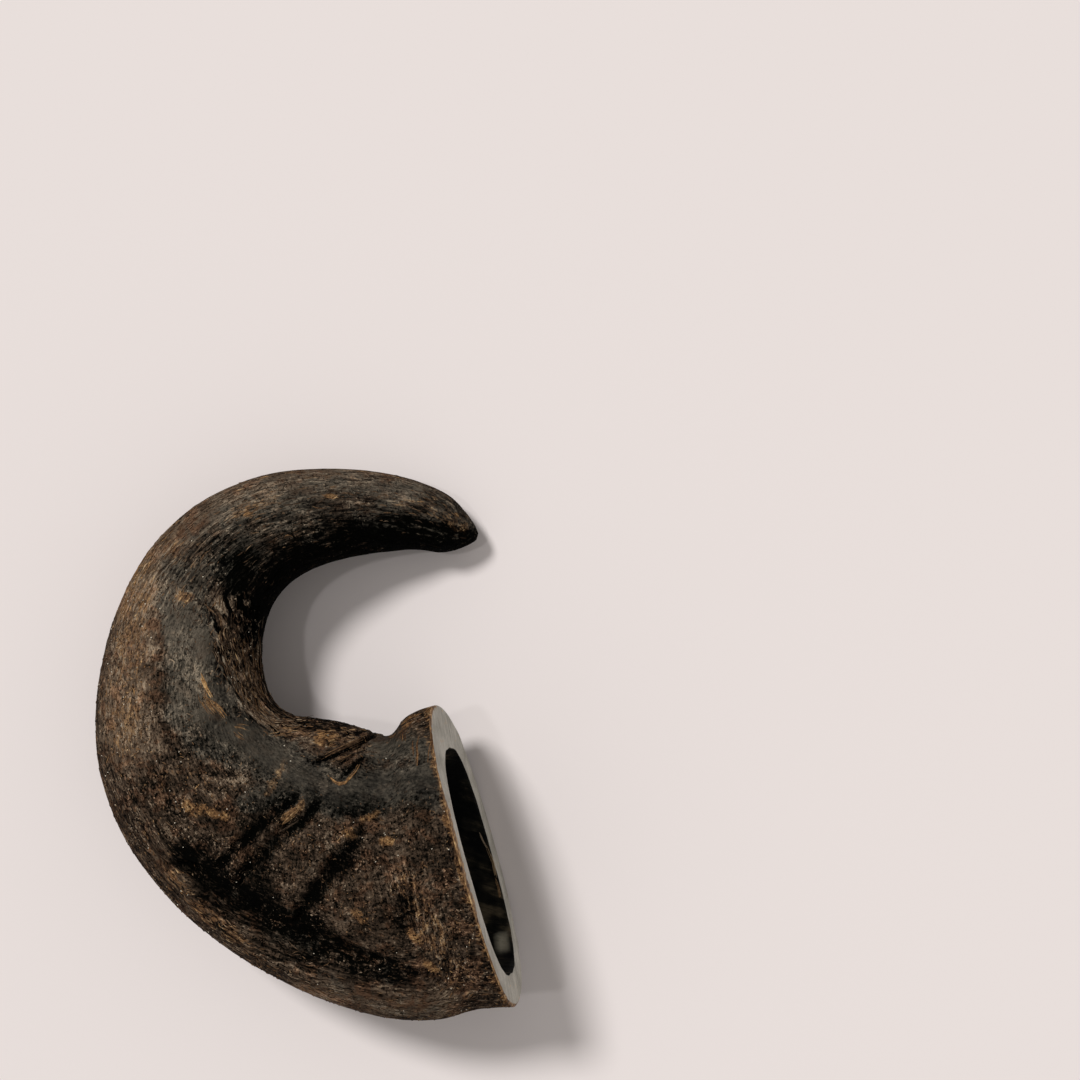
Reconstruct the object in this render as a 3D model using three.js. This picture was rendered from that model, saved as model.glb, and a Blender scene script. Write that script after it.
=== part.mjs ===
// A bison horn: a hollow sheath of keratin, grown in one piece, sawn across at its thick end.
// It lies on its side and curls round like the letter C, with the sawn end and the tip both to the right.
//
// Millimetres, +Z up. The horn lies on the plane Z = 0, and the origin is the middle of its footprint there.

import * as THREE from 'three';

// ---------------------------------------------------------------------------------------------------------
// Driving dimensions
// ---------------------------------------------------------------------------------------------------------

// Every list below runs along the horn, and its first number is the fraction of the horn's length, from the
// sawn end (0) to the tip (1).

// Inner edge of the curl, seen from above: x, y.
const INNER_EDGE = [
  [0.000, 33.6, 11.0],
  [0.050, 25.0, 7.0],
  [0.076, 21.4, 3.5],
  [0.103, 17.1, 3.8],
  [0.184, 4.6, 7.1],
  [0.233, -2.6, 7.8],
  [0.280, -7.3, 9.3],
  [0.375, -12.4, 16.1],
  [0.472, -13.6, 26.6],
  [0.668, -4.9, 44.5],
  [0.781, 7.7, 50.0],
  [0.890, 22.7, 52.4],
  [0.941, 30.3, 52.4],
  [0.978, 37.8, 51.5],
  [1.000, 43.3, 51.8],
];

// Outer edge of the curl, seen from above: x, y.
const OUTER_EDGE = [
  [0.000, 56.0, -68.9],
  [0.050, 43.4, -70.3],
  [0.076, 37.5, -72.2],
  [0.103, 30.3, -73.0],
  [0.184, 8.6, -69.6],
  [0.280, -18.5, -56.9],
  [0.375, -42.9, -35.9],
  [0.472, -57.2, -7.4],
  [0.567, -56.5, 23.8],
  [0.668, -42.9, 54.6],
  [0.781, -13.2, 73.1],
  [0.837, 3.4, 75.0],
  [0.890, 18.8, 73.8],
  [0.941, 32.8, 69.8],
  [0.978, 41.0, 64.7],
  [1.000, 46.1, 60.6],
];

// Level of the horn's centre line above what it lies on, and its thickness above and below that line.
const THICKNESS = [
  // along, level, above, below
  [0.00, 34.0, 24.5, 34.0],
  [0.10, 32.0, 25.5, 32.0],
  [0.28, 27.5, 25.0, 27.5],
  [0.47, 23.0, 23.0, 22.8],
  [0.60, 21.3, 20.0, 19.2],
  [0.75, 18.8, 15.8, 15.0],
  [0.86, 13.8, 12.2, 11.8],
  [0.94, 9.4, 9.2, 9.2],
  [0.98, 7.8, 7.2, 7.4],
  [1.00, 7.2, 5.4, 5.4],
];

const TIP_CAP_START = 0.955;      // the last stretch closes over the blunt tip
const SAW_LEAN = 0.118;           // how far the sawn face leans back, per mm of height
const SAW_LEAN_END = 0.28;        // the sections stand upright from here on
const EDGE_BLUNTNESS = 0.22;      // how much blunter than an ellipse the sections are at the sawn end
const EDGE_BLUNTNESS_END = 0.10;

// The hollow that the bony core left, opening in the sawn face and narrowing along the centre line.
const HOLLOW_HALF_LENGTH = 31.2;  // across the mouth, from the inner edge of the curl to the outer edge
const HOLLOW_HALF_HEIGHT = 20.2;
const HOLLOW_CENTRE = 0.5255;     // share of the way from the inner edge to the outer edge
const HOLLOW_RISE = -4.4;         // its centre over the horn's centre line, so here it is under it
const HOLLOW_SQUARENESS = 2.6;    // 2 is an ellipse, and more is squarer
const HOLLOW_DEPTH = 0.35;        // how far along the horn it reaches
const HOLLOW_TAPER = 0.42;        // share of its size that it loses on the way in

// Facets.
const AROUND = 36;
const RINGS_ALONG = 54;
const RINGS_HOLLOW = 12;
const TIP_CROWDING = 1.3;         // over 1 draws the rings together towards the tip

// ---------------------------------------------------------------------------------------------------------
// Curves through the lists
// ---------------------------------------------------------------------------------------------------------

// Natural cubic spline through rows of [position, value, value, ...]. Returns position -> [value, ...].
function splineThrough(rows) {
  const at = rows.map((row) => row[0]);
  const values = rows[0].slice(1).map((_, column) => rows.map((row) => row[column + 1]));
  const bends = values.map((value) => splineBends(at, value));
  const last = at.length - 1;

  return (position) => {
    let i = 0;
    while (i < last - 1 && position > at[i + 1]) i += 1;
    const step = at[i + 1] - at[i];
    const b = (position - at[i]) / step;
    const a = 1 - b;
    const bendShare = (step * step) / 6;
    return values.map((value, column) => {
      const bend = bends[column];
      const straight = a * value[i] + b * value[i + 1];
      return straight + ((a ** 3 - a) * bend[i] + (b ** 3 - b) * bend[i + 1]) * bendShare;
    });
  };
}

// Second derivatives of a natural cubic spline, from its tridiagonal equations.
function splineBends(at, value) {
  const bend = at.map(() => 0);
  const carry = at.map(() => 0);
  for (let i = 1; i < at.length - 1; i += 1) {
    const share = (at[i] - at[i - 1]) / (at[i + 1] - at[i - 1]);
    const pivot = share * bend[i - 1] + 2;
    const slopeAfter = (value[i + 1] - value[i]) / (at[i + 1] - at[i]);
    const slopeBefore = (value[i] - value[i - 1]) / (at[i] - at[i - 1]);
    bend[i] = (share - 1) / pivot;
    carry[i] = ((6 * (slopeAfter - slopeBefore)) / (at[i + 1] - at[i - 1]) - share * carry[i - 1]) / pivot;
  }
  for (let i = at.length - 2; i > 0; i -= 1) {
    bend[i] = bend[i] * bend[i + 1] + carry[i];
  }
  bend[0] = 0;
  return bend;
}

const innerEdgeAt = splineThrough(INNER_EDGE);
const outerEdgeAt = splineThrough(OUTER_EDGE);
const thicknessAt = splineThrough(THICKNESS);

// ---------------------------------------------------------------------------------------------------------
// Cross sections
// ---------------------------------------------------------------------------------------------------------

// The upright frame of one cross section: its two edges, the level of its centre line, its thickness above
// and below that, and how far it leans.
function frameAt(along) {
  const inner = new THREE.Vector2(...innerEdgeAt(along));
  const outer = new THREE.Vector2(...outerEdgeAt(along));
  const [level, above, below] = thicknessAt(along);
  const outward = outer.clone().sub(inner);
  const width = outward.length();
  outward.divideScalar(width);
  const forward = new THREE.Vector2(-outward.y, outward.x);
  const fade = Math.max(0, 1 - along / SAW_LEAN_END);
  return { inner, outward, forward, width, level, above, below, lean: SAW_LEAN * fade * fade };
}

// A point of a section: across from the inner edge, and up from the centre line.
function pointIn(frame, across, up) {
  const { inner, outward, forward, level, lean } = frame;
  return new THREE.Vector3(
    inner.x + outward.x * across - forward.x * up * lean,
    inner.y + outward.y * across - forward.y * up * lean,
    level + up,
  );
}

// One ring of points around the horn's outside, from the outer edge over the top.
function outsideRing(along) {
  const frame = frameAt(along);
  const capped = Math.max(0, (along - TIP_CAP_START) / (1 - TIP_CAP_START));
  const size = Math.sqrt(1 - capped * capped);
  const bluntness = EDGE_BLUNTNESS * Math.max(0, 1 - along / EDGE_BLUNTNESS_END);
  const ring = [];
  for (let i = 0; i < AROUND; i += 1) {
    const angle = (2 * Math.PI * i) / AROUND;
    const sine = Math.sin(angle);
    const half = frame.width / 2;
    const side = Math.cos(angle) * (1 + bluntness * sine * sine);
    const thickness = sine > 0 ? frame.above : frame.below;
    ring.push(pointIn(frame, half + half * side * size, thickness * sine * size));
  }
  return ring;
}

// A sine or cosine, changed so that the two together go round a squarish ellipse.
function squared(value) {
  return Math.sign(value) * Math.abs(value) ** (2 / HOLLOW_SQUARENESS);
}

// One ring around the wall of the hollow. `depth` is 0 at its mouth and 1 at its end.
function hollowRing(depth) {
  const frame = frameAt(depth * HOLLOW_DEPTH);
  const size = (1 - HOLLOW_TAPER * depth) * Math.sqrt(1 - depth ** 4);
  const ring = [];
  for (let i = 0; i < AROUND; i += 1) {
    const angle = (2 * Math.PI * i) / AROUND;
    const across = frame.width * HOLLOW_CENTRE + HOLLOW_HALF_LENGTH * squared(Math.cos(angle)) * size;
    const up = HOLLOW_RISE + HOLLOW_HALF_HEIGHT * squared(Math.sin(angle)) * size;
    ring.push(pointIn(frame, across, up));
  }
  return ring;
}

// ---------------------------------------------------------------------------------------------------------
// Skin
// ---------------------------------------------------------------------------------------------------------

// A closed skin over a row of equal rings, which ends in one point before the first ring and one after the
// last.
function skinOver(firstPoint, rings, lastPoint) {
  const points = [firstPoint, ...rings.flat(), lastPoint];
  const lastIndex = points.length - 1;
  const at = (ring, i) => 1 + ring * AROUND + (i % AROUND);
  const faces = [];
  for (let i = 0; i < AROUND; i += 1) {
    faces.push(0, at(0, i), at(0, i + 1));
    faces.push(lastIndex, at(rings.length - 1, i + 1), at(rings.length - 1, i));
  }
  for (let ring = 0; ring < rings.length - 1; ring += 1) {
    for (let i = 0; i < AROUND; i += 1) {
      faces.push(at(ring, i), at(ring + 1, i), at(ring + 1, i + 1));
      faces.push(at(ring, i), at(ring + 1, i + 1), at(ring, i + 1));
    }
  }
  const skin = new THREE.BufferGeometry();
  skin.setAttribute('position', new THREE.Float32BufferAttribute(points.flatMap((p) => p.toArray()), 3));
  skin.setIndex(faces);
  return skin;
}

// Rings from the tip back to the sawn end, where the flat sawn face steps in to the mouth of the hollow, and
// on down the hollow to its end.
function makeHornGeometry() {
  const rings = [];
  for (let i = 1; i <= RINGS_ALONG; i += 1) {
    rings.push(outsideRing(1 - (i / RINGS_ALONG) ** TIP_CROWDING));
  }
  for (let i = 0; i < RINGS_HOLLOW; i += 1) {
    rings.push(hollowRing(Math.sin((Math.PI / 2) * (i / RINGS_HOLLOW))));
  }
  const tipFrame = frameAt(1);
  const endFrame = frameAt(HOLLOW_DEPTH);
  const tip = pointIn(tipFrame, tipFrame.width / 2, 0);
  const hollowEnd = pointIn(endFrame, endFrame.width * HOLLOW_CENTRE, HOLLOW_RISE);

  const geometry = skinOver(tip, rings, hollowEnd);
  geometry.computeBoundingBox();
  const { min, max } = geometry.boundingBox;
  geometry.translate(-(min.x + max.x) / 2, -(min.y + max.y) / 2, -min.z);
  geometry.computeVertexNormals();
  return geometry;
}

// ---------------------------------------------------------------------------------------------------------
// Part
// ---------------------------------------------------------------------------------------------------------

const darkKeratin = new THREE.MeshStandardMaterial({ color: 0x3b3027, roughness: 0.75, metalness: 0 });

const horn = new THREE.Mesh(makeHornGeometry(), darkKeratin);
horn.name = 'horn';

const part = new THREE.Group();
part.add(horn);

export default part;
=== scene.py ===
"""A bison horn lying on a pale surface: the looks of the CAD part "horn".

The horn's skin is one fine mesh in the CAD horn's place, with its furrows, crevices and grain in the
geometry. Measures are in millimetres here, and the meshes are made in metres.
"""

import itertools
import math

import bpy
import numpy as np
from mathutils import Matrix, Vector
from mathutils.kdtree import KDTree


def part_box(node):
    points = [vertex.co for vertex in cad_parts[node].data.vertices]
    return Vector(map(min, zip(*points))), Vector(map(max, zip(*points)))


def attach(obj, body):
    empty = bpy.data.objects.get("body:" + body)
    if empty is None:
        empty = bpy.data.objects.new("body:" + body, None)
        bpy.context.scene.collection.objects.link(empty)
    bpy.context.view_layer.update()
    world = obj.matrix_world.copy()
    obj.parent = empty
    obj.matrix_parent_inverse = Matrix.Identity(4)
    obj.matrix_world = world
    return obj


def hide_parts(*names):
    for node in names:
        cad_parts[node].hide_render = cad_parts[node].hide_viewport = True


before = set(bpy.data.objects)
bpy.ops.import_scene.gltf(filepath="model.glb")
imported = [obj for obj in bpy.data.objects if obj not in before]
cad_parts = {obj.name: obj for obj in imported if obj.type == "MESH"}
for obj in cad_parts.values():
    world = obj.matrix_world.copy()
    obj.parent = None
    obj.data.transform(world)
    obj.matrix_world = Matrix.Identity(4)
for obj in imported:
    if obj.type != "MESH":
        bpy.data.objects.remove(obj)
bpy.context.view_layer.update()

MM = 0.001

# ==== The horn's large shape ====
# The same as the CAD part's. The first number of each row is the fraction of the horn's length, from the
# sawn end (0) to the tip (1).

INNER_EDGE = [
    (0.000, 33.6, 11.0),
    (0.050, 25.0, 7.0),
    (0.076, 21.4, 3.5),
    (0.103, 17.1, 3.8),
    (0.184, 4.6, 7.1),
    (0.233, -2.6, 7.8),
    (0.280, -7.3, 9.3),
    (0.375, -12.4, 16.1),
    (0.472, -13.6, 26.6),
    (0.668, -4.9, 44.5),
    (0.781, 7.7, 50.0),
    (0.890, 22.7, 52.4),
    (0.941, 30.3, 52.4),
    (0.978, 37.8, 51.5),
    (1.000, 43.3, 51.8),
]
OUTER_EDGE = [
    (0.000, 56.0, -68.9),
    (0.050, 43.4, -70.3),
    (0.076, 37.5, -72.2),
    (0.103, 30.3, -73.0),
    (0.184, 8.6, -69.6),
    (0.280, -18.5, -56.9),
    (0.375, -42.9, -35.9),
    (0.472, -57.2, -7.4),
    (0.567, -56.5, 23.8),
    (0.668, -42.9, 54.6),
    (0.781, -13.2, 73.1),
    (0.837, 3.4, 75.0),
    (0.890, 18.8, 73.8),
    (0.941, 32.8, 69.8),
    (0.978, 41.0, 64.7),
    (1.000, 46.1, 60.6),
]
THICKNESS = [
    # along, level of the centre line, thickness above it, thickness below it
    (0.00, 34.0, 24.5, 34.0),
    (0.10, 32.0, 25.5, 32.0),
    (0.28, 27.5, 25.0, 27.5),
    (0.47, 23.0, 23.0, 22.8),
    (0.60, 21.3, 20.0, 19.2),
    (0.75, 18.8, 15.8, 15.0),
    (0.86, 13.8, 12.2, 11.8),
    (0.94, 9.4, 9.2, 9.2),
    (0.98, 7.8, 7.2, 7.4),
    (1.00, 7.2, 5.4, 5.4),
]
LENGTH = 218.0
TIP_CAP_START = 0.955
SAW_LEAN = 0.118
SAW_LEAN_END = 0.28
EDGE_BLUNTNESS = 0.22
EDGE_BLUNTNESS_END = 0.10

HOLLOW_HALF_LENGTH = 31.2
HOLLOW_HALF_HEIGHT = 20.2
HOLLOW_SQUARENESS = 2.6
HOLLOW_CENTRE = 0.5255
HOLLOW_RISE = -4.4
HOLLOW_DEPTH = 0.35
HOLLOW_TAPER = 0.42

# Mesh.
AROUND = 216
RINGS_ALONG = 402
RINGS_FACE = 8
RINGS_HOLLOW = 32
MOUTH_CROWDING = 1.6      # over 1 draws the hollow's rings together towards its mouth
RIM_CROWDING = 1.8        # over 1 draws the sawn face's rings together towards its outer edge
TOP_CROWDING = 0.5        # over 0 puts more of each ring's points on the upper side
TIP_CROWDING = 1.12
SAWN_EDGE_ROUNDING = 0.35
FACE_NEARNESS = 6         # so near the sawn face, the relief comes to push points along the face only
MOUTH_ROUNDING = 0.3
TIP_BULGE = 0.3           # how far the tip's last point stands off, as a share of the step between rings
LEAST_HEIGHT = 0.02       # of the skin, over what the horn lies on


def spline_through(rows):
    """Natural cubic spline through rows of (position, value, value, ...)."""
    rows = np.array(rows)
    at, values = rows[:, 0], rows[:, 1:]
    count = len(at)
    step = np.diff(at)
    slope = np.diff(values, axis=0) / step[:, None]
    system = np.eye(count)
    right = np.zeros_like(values)
    for i in range(1, count - 1):
        system[i, i - 1:i + 2] = step[i - 1], 2 * (step[i - 1] + step[i]), step[i]
        right[i] = 6 * (slope[i] - slope[i - 1])
    bend = np.linalg.solve(system, right)

    def evaluate(position):
        position = np.asarray(position, dtype=float)
        i = np.clip(np.searchsorted(at, position) - 1, 0, count - 2)
        b = ((position - at[i]) / step[i])[..., None]
        a = 1 - b
        share = (step[i] ** 2 / 6)[..., None]
        straight = a * values[i] + b * values[i + 1]
        return straight + ((a ** 3 - a) * bend[i] + (b ** 3 - b) * bend[i + 1]) * share

    return evaluate


def unit(vectors):
    return vectors / np.linalg.norm(vectors, axis=-1, keepdims=True)


inner_edge_at = spline_through(INNER_EDGE)
outer_edge_at = spline_through(OUTER_EDGE)
thickness_at = spline_through(THICKNESS)
placing = np.zeros(3)     # moves the horn to where the CAD horn is


def section_point(along, across, up):
    """A point of the cross section at `along`: `across` from the inner edge, `up` from the centre line."""
    inner, outer = inner_edge_at(along), outer_edge_at(along)
    outward = unit(outer - inner)
    forward = np.stack([-outward[..., 1], outward[..., 0]], axis=-1)
    lean = SAW_LEAN * np.clip(1 - along / SAW_LEAN_END, 0, 1) ** 2
    plan = inner + outward * across[..., None] - forward * (up * lean)[..., None]
    level = thickness_at(along)[..., 0] + up
    return np.concatenate([plan, level[..., None]], axis=-1) + placing


def width_at(along):
    return np.linalg.norm(outer_edge_at(along) - inner_edge_at(along), axis=-1)


def outside_point(along, angle):
    """A point of the smooth outside. The angle starts at the outer edge and goes over the top."""
    sine, cosine = np.sin(angle), np.cos(angle)
    capped = np.clip((along - TIP_CAP_START) / (1 - TIP_CAP_START), 0, 1)
    size = np.sqrt(1 - capped ** 2)
    bluntness = EDGE_BLUNTNESS * np.clip(1 - along / EDGE_BLUNTNESS_END, 0, 1)
    half = width_at(along) / 2
    thickness = thickness_at(along)
    above_or_below = np.where(sine > 0, thickness[..., 1], thickness[..., 2])
    side = cosine * (1 + bluntness * sine ** 2)
    return section_point(along, half + half * side * size, above_or_below * sine * size)


def hollow_point(depth, angle):
    """A point of the hollow's smooth wall, at `depth` 0 (the mouth) to 1 (the end)."""
    def squared(value):
        return np.sign(value) * np.abs(value) ** (2 / HOLLOW_SQUARENESS)

    along = depth * HOLLOW_DEPTH
    size = (1 - HOLLOW_TAPER * depth) * np.sqrt(1 - depth ** 4)
    across = width_at(along) * HOLLOW_CENTRE + HOLLOW_HALF_LENGTH * squared(np.cos(angle)) * size
    up = HOLLOW_RISE + HOLLOW_HALF_HEIGHT * squared(np.sin(angle)) * size
    return section_point(along, across, up)


def move_to_cad_horn():
    """What to add to every point, so that the horn's box has the middle and the floor of the CAD horn's."""
    along, angle = np.meshgrid(np.linspace(0, 1, 200), np.linspace(0, 2 * np.pi, 73), indexing="ij")
    points = outside_point(along, angle).reshape(-1, 3)
    low, high = (np.array(corner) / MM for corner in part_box("horn"))
    middle = (low + high) / 2 - (points.min(axis=0) + points.max(axis=0)) / 2
    return np.array([middle[0], middle[1], low[2] - points[:, 2].min()])


placing = move_to_cad_horn()


# ==== Noise ====

_random = np.random.default_rng(7)
_shuffle = np.tile(_random.permutation(256), 2)
_gradients = unit(_random.normal(size=(256, 3)))
NOISE_GAIN = 1.6          # brings the noise to about -1 to 1
OCTAVE_SHIFT = 17.3


def noise(points):
    """Smooth gradient noise of points (..., 3), from about -1 to 1."""
    cell = np.floor(points).astype(int)
    offset = points - cell
    fade = offset ** 3 * (offset * (offset * 6 - 15) + 10)
    cell &= 255
    total = 0
    for corner in itertools.product((0, 1), repeat=3):
        index = _shuffle[cell[..., 0] + corner[0]]
        index = _shuffle[index + cell[..., 1] + corner[1]]
        index = _shuffle[index + cell[..., 2] + corner[2]]
        weight = np.prod(np.where(corner, fade, 1 - fade), axis=-1)
        total = total + weight * np.sum(_gradients[index] * (offset - corner), axis=-1)
    return total * NOISE_GAIN


def rough_noise(points, octaves, falloff=0.5):
    """Several octaves of noise, from about -1 to 1."""
    total, strength, reach = 0, 1.0, 0.0
    for octave in range(octaves):
        total = total + strength * noise(points * 2 ** octave + OCTAVE_SHIFT * octave)
        reach += strength
        strength *= falloff
    return total / reach


def smooth_step(low, high, value):
    share = np.clip((value - low) / (high - low), 0, 1)
    return share * share * (3 - 2 * share)


# ==== Zones and strokes, placed in plan, in mm from the middle of the horn's footprint ====

STROKE_END = 0.08         # the square of how wide a tapered stroke's ends are, against its middle
ZONE_SOFTNESS = 0.8       # the share of a zone's half width over which it fades


def distance_to_line(plan, line):
    """Distance of plan points (..., 2) from a polyline, and how far along it (0 to 1) they are nearest."""
    line = np.array(line, dtype=float)
    lengths = np.linalg.norm(np.diff(line, axis=0), axis=1)
    starts = np.concatenate([[0], np.cumsum(lengths)])
    best = np.full(plan.shape[:-1], np.inf)
    where = np.zeros(plan.shape[:-1])
    for i, (start, end) in enumerate(zip(line[:-1], line[1:])):
        run = end - start
        share = np.clip(((plan - start) @ run) / (run @ run), 0, 1)
        distance = np.linalg.norm(plan - start - share[..., None] * run, axis=-1)
        nearer = distance < best
        best = np.where(nearer, distance, best)
        where = np.where(nearer, (starts[i] + share * lengths[i]) / starts[-1], where)
    return best, where


def stroke(plan, line, half_width, softness=1.0, tapered=True):
    """1 on a line, falling to 0 at its half width. A tapered stroke narrows towards both of its ends."""
    distance, where = distance_to_line(plan, line)
    width = half_width * (np.sqrt(np.clip(4 * where * (1 - where), STROKE_END, 1)) if tapered else 1)
    return smooth_step(1.0, 1.0 - softness, distance / width)


# Furrows and other hollows of the upper side: line, half width, depth.
FURROWS = {
    "upper furrow": ([(-0.5, -12), (-8.2, -18.3), (-14, -23), (-22, -31.5)], 3.2, 1.8),
    "middle furrow": ([(5, -13.5), (-1.2, -20.8), (-7, -25), (-12, -29.6), (-16.5, -36)], 3.4, 1.8),
    "lower furrow": ([(17.5, -19.5), (13.1, -26.4), (8.9, -30.8), (4.3, -37), (-1, -45)], 3.8, 2),
    "trough": ([(-31, -31), (-20, -40), (-6, -48), (8, -53), (22, -56.5)], 9.5, 3),
}

# Crevices: the same, but narrow, and painted black as shade.
CREVICES = {
    "long crevice": ([(3.2, -4.1), (6.4, -2.4), (12, -0.3), (15, 0.8), (19.1, 2.7), (22, 3.5)], 1, 1.6),
    "short crevice": ([(11, -7.4), (13.5, -4.9), (15.4, -3.4), (16.8, -1.8)], 0.95, 1.5),
    "upper crevice": ([(5.8, 0.1), (9.2, 1.7), (11.6, 2.8), (16, 3.2)], 0.5, 0.6),
    "side crevice": ([(9.5, -4.2), (13, -2.2), (17, -0.2)], 0.45, 0.5),
}

# Ridges of the upper side, and negative ones, which are hollows that stay light: line, half width, height.
RIDGES = {
    "side hollow": ([(30, -34), (27, -43), (25, -50)], 7, -0.7),
    "head of the lower furrow": ([(21, -12), (17.5, -20)], 3.5, -0.7),
    "neck": ([(3, -3), (12, -2), (18, 0)], 4, -0.6),
    "ridge between furrows": ([(0.8, -14.2), (-4.3, -18.4), (-8.5, -21.8), (-14, -26.5)], 2, 0.7),
    "broad ridge": ([(9, -17), (3, -28), (-3, -38)], 3.6, 0.8),
    "lip": ([(7.9, -7.3), (10.6, -9.6), (14, -7.8), (17, -1.5)], 1.1, 0.6),
    "crest": ([(-18, 4), (-6, -3.5), (4, -11)], 5, 0.6),
    "crest by the sawn end": ([(6, -13.5), (14, -9.5), (25, -6), (38, -5)], 5, 0.8),
    "outer edge band": ([(-40, -27), (-25, -45), (-8, -57), (8, -63), (26, -66), (44, -65)], 3.8, 1.2),
    "scar": ([(-27.4, 20.6), (-25, 15.5), (-20, 8.5)], 1.4, 0.35),
}


def upper_share(normals):
    """1 where the skin faces up, 0 where it faces down."""
    return smooth_step(-0.25, 0.25, normals[..., 2])


UNDERSIDE_TURN = 14       # degrees
UNDERSIDE_SLIDE = (-7, 4)


def in_turned_axes(plan, turn_deg):
    """Plan points, measured along axes that are turned anticlockwise."""
    turn = math.radians(turn_deg)
    return plan @ np.array([[math.cos(turn), -math.sin(turn)], [math.sin(turn), math.cos(turn)]])


def underside_plan(plan):
    """Where the underside's furrows and zones are looked up: they are the upper ones, turned and slid."""
    return in_turned_axes(plan, UNDERSIDE_TURN) + np.array(UNDERSIDE_SLIDE)


# Zones of colour, wear, painted light and painted shade on the upper side: line, half width, strength. A
# short line makes a spot.
SMOOTH = [
    ([(-26.5, 29), (-25, 24)], 3.8, 0.85),
    ([(-21.5, 15.5), (-19.5, 12.5)], 3.6, 0.85),
    ([(-24, 7.5), (-17, 4), (-10, -0.5), (-2, -6), (7, -11), (17, -11), (28, -8), (40, -7)], 6.5, 1),
    ([(22, 0), (29, 2), (37, 2)], 6.5, 0.85),
    ([(-12, -11.5), (-5, -10.5), (3, -13.5)], 4, 0.55),
]
# Grey, rubbed skin; along the crest the grey also stands in for its sheen: painted sheen.
GREY_AND_PAINTED_SHEEN = [
    ([(-14, -14), (-5, -11), (3, -13.5)], 5.5, 0.85),
    ([(-34, 37), (-31.5, 28), (-31, 20), (-30, 10), (-24, 2), (-16, 0)], 9, 0.95),
    ([(-26, 33), (-23, 22), (-20, 12), (-14, 2)], 6.5, 0.9),
    ([(-20, 3), (-2, -6), (8, -11), (18, -11), (30, -9), (42, -9)], 9.5, 1),
    ([(20, -2), (30, 0), (38, 0)], 6, 0.9),
    ([(-30, 46), (-20, 56), (-6, 64), (12, 67), (30, 63), (42, 57)], 14, 0.62),
    ([(0, -54), (14, -68), (34, -70)], 6, 0.35),
]
# Blackened skin, and painted shade: the arm's inner side and the bend, which face away from the light, and
# the recess by the tip are darkened as shade.
BLACKENED_AND_PAINTED_SHADE = [
    ([(-29, -29), (-20, -37), (-8, -44), (1, -48)], 6.8, 1),
    ([(-14, -35), (-7, -43), (0, -50)], 9, 0.55),
    ([(0, -47), (3, -54)], 5.5, 0.45),
    ([(1, -48), (8, -51.5), (14, -55)], 6, 0.8),
    ([(14, -56), (26, -58)], 6, 0.6),
    ([(14, -24.5), (8.9, -31), (2, -41)], 2.7, 0.84),
    ([(-6, -34), (0, -29)], 5, 0.2),
    ([(-27, -43), (-16, -51)], 4, 0.2),
    ([(-12, -15), (-5, -11.5)], 3.5, 0.3),
    ([(-2.2, -13.4), (-8.2, -18.3), (-14, -23), (-21, -31)], 2.2, 0.85),
    ([(3.8, -15), (-1.2, -20.9), (-7, -25.2), (-14, -32)], 2, 0.85),
    ([(-9, -28), (-17, -35)], 4.5, 0.8),
    ([(20, -9), (34, -10)], 5, 0.14),
    ([(29, -40), (27, -44)], 4, 0.6),
    ([(4, -12.5), (12, -15), (20, -15)], 4.5, 0.35),
    ([(38, 56.5), (44, 55)], 3.2, 0.9),
    ([(-11, 33), (-6, 42), (3, 48), (12, 51), (25, 52), (34, 51)], 12.5, 1.4),
    ([(-16, 47), (-15, 38)], 9, 0.8),
    ([(-14, 38), (-11, 26), (-9, 14)], 4.5, 0.55),
    ([(-8, 11), (-2, 7.5), (8, 6)], 4.5, 0.75),
]
# Tan skin; on the left flank and the arm's top, which face the key light, the tan also stands for the light
# falling there: painted light.
TAN_AND_PAINTED_LIGHT = [
    ([(-45, 48), (-46, 30), (-46.5, 14), (-47, 2)], 9.5, 1),
    ([(-38, 55), (-30, 49)], 6, 0.6),
    ([(-33.5, 40), (-30.5, 39)], 2.6, 1),
    ([(-18, 62), (-9, 66)], 4, 0.8),
    ([(4, 66), (7, 66)], 2.2, 0.6),
    ([(24, 64), (34, 62.5), (41, 58)], 3.5, 0.7),
    ([(28, -36), (37, -50), (41, -61)], 8, 0.5),
    ([(8, -36), (14, -42)], 5, 0.4),
    ([(-12, -29), (-4, -24), (2, -22)], 3, 0.35),
    ([(5, -21), (1, -28), (-3, -36)], 4.5, 0.2),
    ([(-34, -6), (-26, -10), (-18, -8)], 7, 0.3),
    ([(-34, -34), (-25.5, -43.5), (-15.5, -52.5)], 3, 1),
    ([(-2, 6), (8, 3.5), (16, 2)], 4.5, 0.55),
]
OCHRE = [
    ([(-29.5, -15.5), (-24.4, -16.6), (-19.6, -18.1)], 2.6, 1),
    ([(-26.4, 16), (-24.6, 12.6), (-21.5, 9.5)], 1.8, 0.7),
    ([(-8.8, -11.4), (-5, -3.9)], 1.8, 0.7),
    ([(5, 1.8), (7.4, 1)], 2.8, 0.9),
    ([(9.5, -9), (12.5, -8.6)], 1, 0.7),
    ([(0.2, -15), (-3.6, -18.4)], 1.9, 0.8),
    ([(22, -23.7), (23.6, -23.7)], 2.2, 1.3),
    ([(12.6, -21.5), (14.2, -21.5)], 2, 0.9),
    ([(17, -18), (20.5, -16.5)], 1.8, 0.9),
    ([(15, -42), (17, -44)], 2, 0.7),
    ([(29, -47), (31, -49)], 2.2, 0.8),
    ([(33, -55), (35, -57)], 2.2, 0.8),
    ([(37.5, -17), (40, -21)], 1.6, 0.8),
    ([(25, 7.2), (30.1, 9.6), (35, 10.8)], 2.3, 1),
    ([(-31.8, 39.8), (-31, 39)], 1.6, 0.8),
    ([(6.2, 65.8), (7.2, 65.8)], 1.3, 0.9),
    ([(-15.2, 61.9), (-14.4, 61.5)], 1.2, 0.7),
    ([(33, 66), (34, 65.6)], 1.1, 0.7),
    ([(39.3, 61.2), (39.8, 60.9)], 1.1, 0.8),
]
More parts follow.
